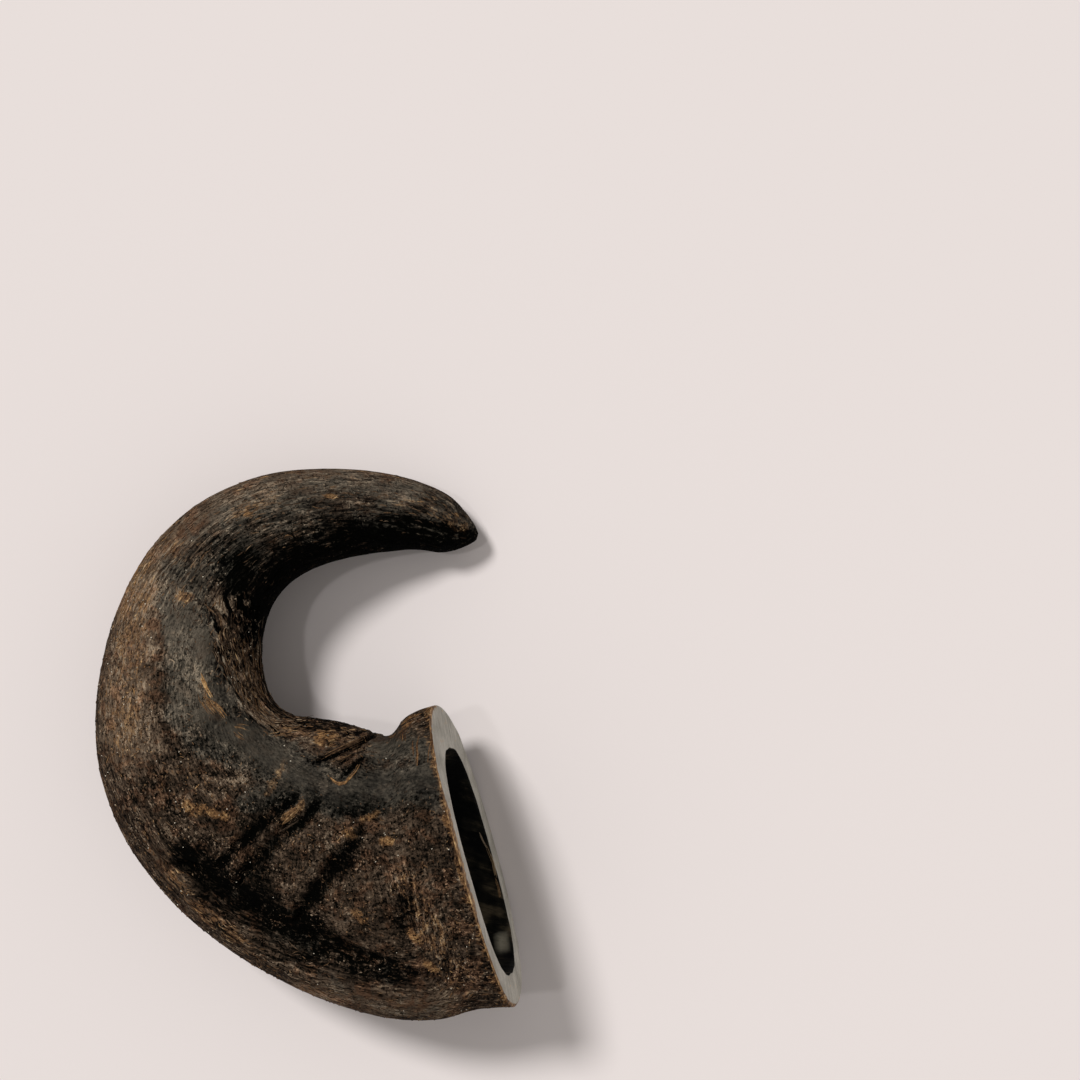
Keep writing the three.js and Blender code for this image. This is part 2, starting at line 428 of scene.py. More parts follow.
# Paler skin, and painted light: the arm's outer top and the left flank, which face the light, are made
# lighter.
PALE_AND_PAINTED_LIGHT = [
    ([(-40, 52), (-28, 62), (-12, 69), (8, 72), (26, 69)], 9, 0.72),
    ([(-44, 40), (-46, 20), (-46, 2)], 13, 0.9),
    ([(-34, 37), (-31, 26), (-29, 12)], 9, 0.92),
    ([(-14, 33), (-16, 22), (-12, 13), (-4, 8)], 6, 0.5),
    ([(2, 2), (10, -1), (18, 0)], 4.5, 0.5),
    ([(0, -65), (20, -68.5), (38, -67.5)], 6, 0.8),
]

# Where the grain can be seen, and which way it runs there: along the horn, or slanting across it.
ALONG_GRAIN = [
    ([(-40, -22), (-30, -38), (-14, -51), (2, -60), (20, -65), (44, -66)], 7.5, 0.9),
    ([(-52, 40), (-58, 10), (-50, -18)], 8, 0.35),
]
BEND_GRAIN = [
    ([(-18, 34), (-17, 24), (-13, 15), (-7, 8.5)], 9, 1.7),
]
BODY_GRAIN = [
    ([(36, -30), (20, -36), (4, -28), (-10, -24)], 26, 0.6),
    ([(28, -34), (36, -48), (40, -58)], 9, 0.95),
]
CREST_GRAIN = [
    ([(-2, 4), (10, 1), (19, 2)], 6, 1),
]
ZONES = {
    "smoothed": SMOOTH, "grey": GREY_AND_PAINTED_SHEEN, "blackened_and_painted_shade": BLACKENED_AND_PAINTED_SHADE, "tan": TAN_AND_PAINTED_LIGHT, "ochre": OCHRE, "pale": PALE_AND_PAINTED_LIGHT,
    "along_grain": ALONG_GRAIN, "bend_grain": BEND_GRAIN, "body_grain": BODY_GRAIN,
    "crest_grain": CREST_GRAIN,
}
SOCKET_GREY_PATCH = [
    ([(52.2, -54.9), (52.6, -57.2)], 2, 0.85),
]
# Where the brown rim of the sawn face is wide.
WIDE_RIM = [
    ([(38, -16), (41, -27), (45, -38)], 8, 1),
]
RIM_WIDTH, RIM_WIDTH_MORE = 0.06, 0.42      # as a share of the way to the mouth
ARM_GRAIN_START, ARM_GRAIN_FULL = 0.52, 0.68
BEND_CENTRE = (60.0, 89.0)      # the bend's strands run on arcs about this point of the plan
BEND_RADIUS = 100.0
CREST_TURN = 24                 # degrees, the direction in plan of the strands beside the crest


def zone(plan, spots):
    """The strongest of the spots at each plan point."""
    total = np.zeros(plan.shape[:-1])
    for line, half_width, strength in spots:
        total = np.maximum(total, strength * stroke(plan, line, half_width, ZONE_SOFTNESS, tapered=False))
    return total


def wander(points, coarse_mm, fine_mm):
    """Plan points, moved about a little, so that what is placed by them has uneven edges."""
    shifts = 40, 80, 120, 160       # far enough apart for four different patterns
    coarse = np.stack([rough_noise(points / 9 + shift, 3) for shift in shifts[:2]], axis=-1)
    fine = np.stack([noise(points / 1.7 + shift) for shift in shifts[2:]], axis=-1)
    return points[..., :2] + coarse_mm * coarse + fine_mm * fine


# ==== The horn's fine skin ====

def grain_coordinates(points, along):
    """Coordinates that run with the grain: two through the thickness, and the third along the horn."""
    inner, outer = inner_edge_at(along), outer_edge_at(along)
    across = np.sum((points[..., :2] - (inner + outer) / 2) * unit(outer - inner), axis=-1)
    return np.stack([across, points[..., 2] - thickness_at(along)[..., 0], along * LENGTH], axis=-1)


def bend_coordinates(points):
    """The same for the grain of the bend, which runs on arcs."""
    x, y = points[..., 0] - BEND_CENTRE[0], points[..., 1] - BEND_CENTRE[1]
    turn = np.mod(np.arctan2(y, x), 2 * np.pi)
    return np.stack([np.hypot(x, y), points[..., 2], turn * BEND_RADIUS], axis=-1)


def crest_coordinates(points):
    """The same for the grain beside the crest, which runs straight across the plan."""
    turned = in_turned_axes(points[..., :2], CREST_TURN)
    return np.stack([turned[..., 1], points[..., 2], turned[..., 0]], axis=-1)


def ridged(value):
    """Turns smooth noise into sharp ridges, from -0.5 in the gaps to 0.5 on the ridges."""
    return 0.5 - np.minimum(1, 2.2 * np.abs(value))


# Relief, in mm.
SWELLINGS = 0.55
FINE_RELIEF = 0.30
GRAIN_RELIEF = {"along_grain": 0.26, "bend_grain": 0.90, "body_grain": 0.30, "crest_grain": 0.45}
SAWN_EDGE_STRIP = 3.0       # width of the browner strip of skin at the sawn end
WALL_BUMPS = 0.5            # of the hollow
WALL_STREAKS = 0.35

DEPTH_UNEVENNESS = 0.45     # how much a furrow's or ridge's size comes and goes, as a share of it
# How dark the furrows and crevices are made: painted shade.
FURROW_PAINTED_SHADE = 0.7
CREVICE_PAINTED_SHADE = 1.7


def skin_features(points, normals, along):
    """Relief in mm along the normal, and the zones, at points of the smooth outside."""
    upper = upper_share(normals)
    plan, near_plan = wander(points, 1.5, 0.45), wander(points, 0.3, 0.3)
    below, near_below = underside_plan(plan), underside_plan(near_plan)

    def both_sides(spots):
        return upper * zone(plan, spots) + (1 - upper) * zone(below, spots)

    zones = {name: both_sides(spots) for name, spots in ZONES.items()}
    on_arm = smooth_step(ARM_GRAIN_START, ARM_GRAIN_FULL, along)
    zones["along_grain"] = np.maximum(on_arm, zones["along_grain"])
    zones["bend_grain"] = np.minimum(zones["bend_grain"], 1)
    zones["facing"] = smooth_step(0.0, 0.5, np.abs(normals[..., 2]))
    zones["sawn_edge"] = smooth_step(SAWN_EDGE_STRIP, 0.3, along * LENGTH + 1.5 * noise(points / 1.8))
    grain, bend_place = grain_coordinates(points, along), bend_coordinates(points)
    crest_place = crest_coordinates(points)
    zones |= {"grain": grain, "bend_place": bend_place, "crest_place": crest_place}

    relief = np.zeros(along.shape)
    depth_noise = 1 + DEPTH_UNEVENNESS * noise(points / 5 + 90)

    def add_strokes(strokes, sign, top_plan, low_plan):
        total = np.zeros(along.shape)
        for line, half_width, size in strokes.values():
            top_share, low_share = stroke(top_plan, line, half_width), stroke(low_plan, line, half_width)
            share = upper * top_share + (1 - upper) * low_share
            relief[...] += sign * size * share * depth_noise
            total = np.maximum(total, share)
        return total

    furrowed = add_strokes(FURROWS, -1, plan, below)
    creviced = add_strokes(CREVICES, -1, near_plan, near_below)
    add_strokes(RIDGES, 1, plan, below)
    # The furrows and crevices are darkened as painted shade.
    zones["blackened_and_painted_shade"] = np.maximum.reduce(
        [zones["blackened_and_painted_shade"], FURROW_PAINTED_SHADE * furrowed, CREVICE_PAINTED_SHADE * creviced])

    rough = 1 - 0.85 * zones["smoothed"]
    on_flank = 0.2 + 0.8 * zones["facing"]
    patterns = {
        "along_grain": on_flank * ridged(noise(grain / (2.1, 2.1, 24)) + 0.4 * noise(points / 3)),
        "bend_grain": on_flank * ridged(noise(bend_place / (1.9, 3.0, 14))),
        "body_grain": rough_noise(grain / (7, 2.2, 2.2), 2),
        "crest_grain": ridged(noise(crest_place / (2.2, 3.0, 14))),
    }
    for name, height in GRAIN_RELIEF.items():
        relief += height * rough * zones[name] * patterns[name]
    relief += SWELLINGS * on_flank * noise(points / 17)
    relief += FINE_RELIEF * rough * on_flank * rough_noise(points / 3.2, 3, 0.75)
    return relief, zones


def normals_of(rings):
    """Outward normals of a grid of points (rings, around, 3)."""
    along_step = np.gradient(rings, axis=0)
    around_step = np.roll(rings, -1, axis=1) - np.roll(rings, 1, axis=1)
    normal = np.cross(along_step, around_step)
    return normal / np.maximum(np.linalg.norm(normal, axis=-1, keepdims=True), 1e-9)


def sawn_plane():
    """A point of the sawn face, and the face's outward normal."""
    corners = outside_point(np.zeros(3), np.array([0.0, 2.0, 4.0]))
    normal = np.cross(corners[1] - corners[0], corners[2] - corners[0])
    return corners[0], unit(normal) * np.sign(normal[0])


def make_skin_rings():
    """Rings of points, from the tip over the outside, the sawn face and down the hollow, and the zones at
    each point of the outside."""
    turn = 2 * np.pi * np.arange(AROUND) / AROUND
    angle = turn + TOP_CROWDING * (np.cos(turn) - 1)
    face_point, face_normal = sawn_plane()

    # Outside, from the tip to the sawn end.
    along = 1 - (np.arange(1, RINGS_ALONG + 1) / RINGS_ALONG) ** TIP_CROWDING
    along[-1] = SAWN_EDGE_ROUNDING / LENGTH
    along_grid, angle_grid = np.meshgrid(along, angle, indexing="ij")
    smooth = outside_point(along_grid, angle_grid)
    normals = normals_of(smooth)
    relief, zones = skin_features(smooth, normals, along_grid)
    near_face = smooth_step(FACE_NEARNESS, 0, along_grid * LENGTH)[..., None]
    directions = normals - near_face * (normals @ face_normal)[..., None] * face_normal
    outside = smooth + relief[..., None] * directions
    outside[..., 2] = np.maximum(outside[..., 2], LEAST_HEIGHT)

    # Sawn face, from its edge to the mouth of the hollow.
    last = outside[-1]
    edge = last - ((last - face_point) @ face_normal)[:, None] * face_normal
    mouth = hollow_point(np.zeros(AROUND), angle)
    mouth += 0.5 * noise(mouth / 4)[:, None] * (mouth - mouth.mean(axis=0)) / 30
    inward = unit(mouth - edge)
    edge = edge + inward * SAWN_EDGE_ROUNDING
    shares = (np.linspace(0, 1, RINGS_FACE) ** RIM_CROWDING)[:, None, None]
    face = edge * (1 - shares) + (mouth - inward * MOUTH_ROUNDING) * shares

    # Hollow, from its mouth to its end.
    depth = np.sin(np.pi / 2 * (np.arange(RINGS_HOLLOW) / RINGS_HOLLOW) ** MOUTH_CROWDING)
    depth_grid, hollow_angle = np.meshgrid(depth, angle, indexing="ij")
    wall = hollow_point(depth_grid, hollow_angle)
    wall[0] = mouth
    into_hollow = normals_of(wall)
    bumps = WALL_BUMPS * rough_noise(wall / 7 + 5, 3)
    bumps += WALL_STREAKS * rough_noise(wall / (9, 1.8, 1.8) + 9, 2)
    wall = wall + (bumps * smooth_step(0, 0.08, depth_grid))[..., None] * into_hollow
    wall[0] -= face_normal * MOUTH_ROUNDING
    return outside, zones, face, wall


def add_object(name, data):
    thing = bpy.data.objects.new(name, data)
    bpy.context.collection.objects.link(thing)
    return thing


def make_object(name, points, faces, materials, face_materials=None, smooth=True):
    """A mesh object from points in mm."""
    mesh = bpy.data.meshes.new(name)
    mesh.from_pydata((np.asarray(points) * MM).tolist(), [], faces)
    for material in materials:
        mesh.materials.append(material)
    if face_materials is not None:
        mesh.polygons.foreach_set("material_index", face_materials)
    mesh.polygons.foreach_set("use_smooth", [smooth] * len(mesh.polygons))
    mesh.update()
    return add_object(name, mesh)


def give_to_points(mesh, name, values):
    """Stores one number or one vector per point, for the materials to read."""
    kind = "FLOAT" if values.ndim == 1 else "FLOAT_VECTOR"
    key = "value" if values.ndim == 1 else "vector"
    layer = mesh.attributes.new(name, kind, "POINT")
    layer.data.foreach_set(key, values.astype(np.float32).ravel())


def make_horn(outside, zones, face, wall, materials):
    """The whole horn as one closed mesh: outside, sawn face and hollow."""
    rings = np.concatenate([outside, face, wall])
    middles = rings.mean(axis=1)
    tip = middles[0] + (middles[0] - middles[1]) * TIP_BULGE
    points = np.concatenate([[tip], rings.reshape(-1, 3), middles[-1:]])

    count = len(rings)
    index = 1 + np.arange(count * AROUND).reshape(count, AROUND)
    after = np.roll(index, -1, axis=1)
    tip_fan = np.stack([np.zeros_like(index[0]), index[0], after[0]], axis=-1)
    quads = np.stack([index[:-1], index[1:], after[1:], after[:-1]], axis=-1)
    end_fan = np.stack([np.full_like(index[0], len(points) - 1), after[-1], index[-1]], axis=-1)
    faces = tip_fan.tolist() + quads.reshape(-1, 4).tolist() + end_fan.tolist()
    bands = [0] * len(outside) + [1] * len(face) + [2] * (len(wall) + 1)
    face_materials = np.repeat(bands, AROUND).tolist()

    rim = np.zeros((count, AROUND))
    inward = np.linspace(0, 1, len(face))[:, None] ** RIM_CROWDING
    rim_width = RIM_WIDTH + RIM_WIDTH_MORE * zone(face[0, :, :2], WIDE_RIM)
    on_top = upper_share(normals_of(outside)[-3])      # just inside the rounded edge
    rim[len(outside):len(outside) + len(face)] = np.clip(1 - inward / rim_width, 0, 1) * on_top
    rim[len(outside) - 1] = on_top
    horn = make_object("horn_skin", points, faces, materials, face_materials)
    give_to_points(horn.data, "rim", np.concatenate([[0], rim.ravel(), [0]]))
    for name, values in zones.items():
        inside = np.zeros((len(face) + len(wall),) + values.shape[1:])
        values = np.concatenate([values, inside]).reshape((-1,) + values.shape[2:])
        give_to_points(horn.data, name, np.concatenate([values[:1], values, values[-1:]]))
    give_to_points(horn.data, "socket_grey", zone(points[:, :2], SOCKET_GREY_PATCH))
    return horn


# Slivers, flakes and dust standing off the skin.
SLIVER_COUNT = 10500
SLIVER_STATIONS = np.linspace(-0.5, 0.5, 5)
SLIVER_TAPER = np.array([0.15, 0.8, 1.0, 0.75, 0.1])
SLIVER_LENGTHS = (-0.45, 0.45)      # mean and spread of their logarithms
SLIVER_WIDTHS = (0.22, 0.48)
SLIVER_HEIGHTS = (0.3, 0.6)         # as a share of the width
SLIVER_CURL = 0.12                  # how far one bows sideways, as a share of its length
SLANT_PULL = 3                      # of a slanting grain on the slivers, where the grain along pulls by 1
LIFTED_SHARE = 0.12                 # of the slivers, that lift off at one end
SLIVER_LIFTS = (0.05, 0.16)
DUST_COUNT = 170
DUST_LENGTHS = (0.25, 0.5)
DUST_WIDTHS = (0.2, 0.4)
DUST_HEIGHT = 0.2
STRIP_SINK = 0.05                   # how far a strip's lower edges are sunk into the skin
STRIP_LEAST_HEIGHT = 0.01           # over what the horn lies on

# Bundles of long loose strands: line in plan, number of strands, how far they stray from it in mm, width in
# mm, shade, warmth.
STRAND_BUNDLES = [
    ([(-27.3, 20.9), (-26.3, 18.1), (-25.0, 15.6), (-23.4, 13.0)], 5, 0.30, 0.38, 0.86, 1.0),
    ([(-26.8, 15.5), (-26.0, 12.5), (-24.2, 9.9), (-22.2, 7.9)], 9, 0.85, 0.30, 0.64, 0.9),
    ([(-25.2, 13.6), (-21.8, 10.4), (-19.8, 7.8)], 7, 0.80, 0.30, 0.66, 0.9),
    ([(-18.4, 5.2), (-16, 5.0), (-13.9, 4.3)], 4, 0.40, 0.28, 0.62, 0.8),
    ([(-18.0, 4.2), (-16.4, 3.0), (-14.6, 2.0)], 4, 0.45, 0.28, 0.58, 0.7),
    ([(-8.8, 2.3), (-6.3, 2.8), (-3.1, 3.9)], 5, 0.35, 0.30, 0.60, 0.6),
    ([(6.9, -6.9), (8.6, -8.3), (10.2, -9.1), (11.9, -8.9), (13.4, -7.6), (14.8, -6.0)],
     6, 0.25, 0.42, 0.64, 1.0),
    ([(10.6, -9.0), (12.4, -8.2), (14.6, -6.0), (15.6, -4.0)], 4, 0.30, 0.38, 0.60, 0.9),
    ([(4, -3.2), (7.5, -1.3), (12, 0.6), (17, 2.6)], 6, 0.55, 0.40, 0.48, 0.4),
    ([(7, -3.6), (12, -1.9), (18, 0.6)], 8, 0.80, 0.40, 0.44, 0.4),
    ([(1.2, -14.4), (-0.9, -16.6), (-4.4, -19.6)], 9, 0.55, 0.45, 0.66, 0.7),
    ([(1.4, -16.0), (-0.6, -18.8), (-3.8, -20.9), (-8, -23.4)], 3, 0.15, 0.35, 0.52, 0.0),
    ([(30.5, 3.4), (30.1, 1), (30.4, -1.5), (30.2, -4.2)], 5, 0.45, 0.42, 0.42, 0.8),
    ([(34.5, 4.2), (34.7, 1.6), (34.2, -0.6), (34.1, -3.4)], 5, 0.40, 0.42, 0.42, 0.8),
    ([(26.4, 4.6), (26.3, 1.4)], 4, 0.50, 0.40, 0.40, 0.8),
    ([(23.4, 4.4), (23.2, 2.0)], 3, 0.50, 0.40, 0.40, 0.8),
    ([(24.5, 4.4), (28, 7.0), (31, 8.4)], 7, 0.70, 0.50, 0.46, 0.9),
]
# Strands in the socket; their light shades are partly painted light, a lit edge in the shaded hollow.
SOCKET_STRANDS = [
    ([(45.3, -25.4), (46.6, -28.2), (48.1, -30.9)], 6, 0.10, 0.34, 1.15, 0.0),
    ([(47.6, -30.0), (49.6, -34.9), (50.4, -39.2)], 8, 0.20, 0.36, 1.0, 0.3),
    ([(50.2, -38.5), (51.2, -41.5), (51.8, -44.4)], 8, 0.30, 0.40, 0.8, 0.5),
]
STRAND_STATIONS = np.linspace(0, 1, 11)
STRAND_TAPER = 0.12 + 0.88 * np.sin(np.pi * STRAND_STATIONS) ** 0.6
STRAND_STARTS = (0.0, 0.45)         # how far along its bundle's line a strand starts
STRAND_LENGTHS = (0.4, 0.9)         # as a share of its bundle's line
STRAND_WIDTHS = (0.6, 1.2)          # as a share of its bundle's width
OUTSIDE_REACH, SOCKET_REACH = 0.6, 5.0      # mm, about as far apart as the points of each surface


def make_strips(name, middle, side, up, width, height, raised, taper, looks, material):
    """One mesh of three-cornered strips. Each runs along a row of `middle` points (count, stations, 3).
    `looks` are the attributes: name -> one number for each strip."""
    half = (width[:, None] / 2 * taper)[..., None] * side
    lower = (raised - STRIP_SINK)[..., None] * up
    upper = (raised + height[:, None] * taper)[..., None] * up
    points = np.stack([middle - half + lower, middle + upper, middle + half + lower], axis=2)
    points[..., 2] = np.maximum(points[..., 2], STRIP_LEAST_HEIGHT)

    index = np.arange(points.size // 3).reshape(points.shape[:-1])
    near, far = index[:, :-1], index[:, 1:]
    left = np.stack([near[..., 0], near[..., 1], far[..., 1], far[..., 0]], axis=-1)
    right = np.stack([near[..., 1], near[..., 2], far[..., 2], far[..., 1]], axis=-1)
    faces = np.concatenate([left.reshape(-1, 4), right.reshape(-1, 4)]).tolist()
    strips = make_object(name, points.reshape(-1, 3), faces, [material])
    for look, values in looks.items():
        give_to_points(strips.data, look, np.repeat(values, points.shape[1] * points.shape[2]))
    return strips


def bilinear(grid, row, column):
    """Values of a ring grid at fractional rows and columns."""
    row = np.clip(row, 0, len(grid) - 1.001)
    i, j = np.floor(row).astype(int), np.floor(column).astype(int)
    a, b = (row - i)[..., None], (column - j)[..., None]
    j, after = j % AROUND, (j + 1) % AROUND
    return ((grid[i, j] * (1 - a) + grid[i + 1, j] * a) * (1 - b)
            + (grid[i, after] * (1 - a) + grid[i + 1, after] * a) * b)


def grain_directions(place, lengthwise, crosswise, here):
    """Which way the grain runs: along the horn, or another way where one of the other grains is."""
    arm = place[:, :2] - np.array(BEND_CENTRE)
    around_bend = unit(np.stack([-arm[:, 1], arm[:, 0], 0 * arm[:, 0]], axis=-1))
    turn = math.radians(CREST_TURN)
    beside_crest = np.tile([math.cos(turn), math.sin(turn), 0.0], (len(place), 1))
    direction = unit(lengthwise)
    slants = {"body_grain": unit(crosswise), "bend_grain": around_bend, "crest_grain": beside_crest}
    for name, slant in slants.items():
        same_way = np.sign(np.sum(direction * slant, axis=-1, keepdims=True))
        direction = direction + SLANT_PULL * here[name][:, None] * slant * same_way
    return direction


def make_slivers(outside, zones, material):
    """Thousands of small raised slivers that follow the skin and its grain, and dust."""
    random = np.random.default_rng(11)
    along_step = outside[1:] - outside[:-1]
    around_step = (np.roll(outside, -1, axis=1) - outside)[:-1]
    normal = np.cross(along_step, around_step)
    area = np.linalg.norm(normal, axis=-1)
    rough = (1 - 0.93 * zones["smoothed"]) * (1 - 0.92 * np.clip(zones["blackened_and_painted_shade"], 0, 1))
    density = 0.6 + 0.8 * zones["tan"] + 0.7 * zones["bend_grain"] + 0.8 * zones["ochre"]
    density = density * rough * (0.03 + 0.97 * zones["facing"]) * (1 - 0.5 * zones["along_grain"])
    share = (area * density[:-1]).ravel()
    count = SLIVER_COUNT + DUST_COUNT
    picked = random.choice(share.size, size=count, p=share / share.sum())
    row, column = np.unravel_index(picked, area.shape)
    here = {name: values[row, column] for name, values in zones.items()}
    d_row, d_column = along_step[row, column], around_step[row, column]
    up = normal[row, column] / area[row, column, None]

    direction = grain_directions(outside[row, column], d_row, d_column, here)
    direction = unit(direction - np.sum(direction * up, axis=-1, keepdims=True) * up)
    side = np.cross(up, direction)
    order = np.maximum.reduce([here["along_grain"], here["bend_grain"], here["crest_grain"]])
    turn = random.normal(size=count) * (1.0 - 0.85 * order)
    direction = direction * np.cos(turn)[:, None] + side * np.sin(turn)[:, None]
    side = np.cross(up, direction)

    # The same direction, in steps of the grid.
    dots = [np.sum(a * b, axis=-1) for a, b in ((d_row, d_row), (d_row, d_column), (d_column, d_column),
                                                (direction, d_row), (direction, d_column))]
    determinant = dots[0] * dots[2] - dots[1] ** 2
    row_step = (dots[3] * dots[2] - dots[4] * dots[1]) / determinant
    column_step = (dots[4] * dots[0] - dots[3] * dots[1]) / determinant

    dusty = np.arange(count) >= SLIVER_COUNT
    length = random.lognormal(*SLIVER_LENGTHS, count) * (1 + 1.8 * order + 4.5 * here["bend_grain"])
    width = random.uniform(*SLIVER_WIDTHS, count)
    height = width * random.uniform(*SLIVER_HEIGHTS, count)
    curl = random.normal(size=count) * SLIVER_CURL
    lift = np.where(random.random(count) < LIFTED_SHARE, random.uniform(*SLIVER_LIFTS, count), 0)
    length[dusty] = random.uniform(*DUST_LENGTHS, DUST_COUNT)
    width[dusty] = random.uniform(*DUST_WIDTHS, DUST_COUNT)
    height[dusty] = DUST_HEIGHT

    stations = SLIVER_STATIONS * length[:, None]
    middle = bilinear(outside, (row + random.random(count))[:, None] + row_step[:, None] * stations,
                      (column + random.random(count))[:, None] + column_step[:, None] * stations)
    bow = (4 * SLIVER_STATIONS ** 2) * (curl * length)[:, None]
    middle = middle + side[:, None] * bow[..., None]
    raised = (SLIVER_STATIONS + 0.5) ** 2 * lift[:, None]

    # Slivers are lighter in the tan zone, partly painted light, and darker in the blackened zone, partly
    # painted shade.
    shade = 0.46 + 0.14 * random.normal(size=count) + 0.14 * here["tan"] + 0.1 * here["ochre"]
    shade += 0.1 * here["bend_grain"] - 0.22 * here["blackened_and_painted_shade"]
    warmth = 0.8 * random.random(count) ** 2 + 0.25 * here["tan"] + here["ochre"] + here["sawn_edge"]
    warmth = np.clip(warmth * (1 - 0.6 * here["grey"]) * (1 - 0.5 * here["blackened_and_painted_shade"]), 0, 1)
    looks = {"shade": shade, "warmth": warmth, "dusty": dusty.astype(float)}
    return make_strips("horn_slivers", middle, side[:, None], up[:, None], width, height, raised,
                       SLIVER_TAPER, looks, material)


def make_strands(name, bundles, surface, reach, material):
    """Bundles of long strands, each draped over the part of a ring grid that faces up.

    A point further than `reach` (mm) from every point of the grid goes to the nearest one.
    """
    random = np.random.default_rng(5)
    normals = normals_of(surface)
    facing_up = normals[..., 2] > 0.25
    tops, top_normals = surface[facing_up], normals[facing_up]
    nearest = KDTree(len(tops))
    for i, (x, y, _) in enumerate(tops):
        nearest.insert((x, y, 0), i)
    nearest.balance()

    plans, widths, shades, warmths = [], [], [], []
    for line, count, stray, width, shade, warmth in bundles:
        line = np.array(line, dtype=float)
        lengths = np.linalg.norm(np.diff(line, axis=0), axis=1)
        corners = np.concatenate([[0], np.cumsum(lengths)]) / lengths.sum()
        tangent = unit(line[-1] - line[0])
        for _ in range(count):
            stretch = random.uniform(*STRAND_STARTS) + random.uniform(*STRAND_LENGTHS) * STRAND_STATIONS
            plan = np.stack([np.interp(stretch, corners, line[:, k]) for k in (0, 1)], axis=-1)
            slide = random.normal() * stray + random.normal() * 0.5 * stray * (STRAND_STATIONS - 0.5)
            plans.append(plan + np.multiply.outer(slide, [-tangent[1], tangent[0]]))
            widths.append(width * random.uniform(*STRAND_WIDTHS))
            shades.append(shade + 0.08 * random.normal())
            warmths.append(warmth)

    plans = np.array(plans)
    found = np.array([nearest.find((x, y, 0))[1] for x, y in plans.reshape(-1, 2)])
    found = found.reshape(plans.shape[:2])
    base, up = tops[found], top_normals[found]
    step = plans - base[..., :2]
    step *= np.linalg.norm(step, axis=-1, keepdims=True) < reach
    rise = -np.sum(up[..., :2] * step, axis=-1) / up[..., 2]
    level = base[..., 2] + np.clip(rise, -reach / 2, reach / 2)
    middle = np.concatenate([base[..., :2] + step, level[..., None]], axis=-1)
    tangents = unit(middle[:, -1:] - middle[:, :1] + 0.5 * np.gradient(middle, axis=1) + 1e-9)
    side = unit(np.cross(up, tangents))
    widths = np.array(widths)
    looks = {"shade": np.array(shades), "warmth": np.array(warmths), "dusty": np.zeros(len(plans))}
    return make_strips(name, middle, side, up, widths, 0.5 * widths, np.zeros(plans.shape[:2]),
                       STRAND_TAPER, looks, material)


# ==== Materials ====

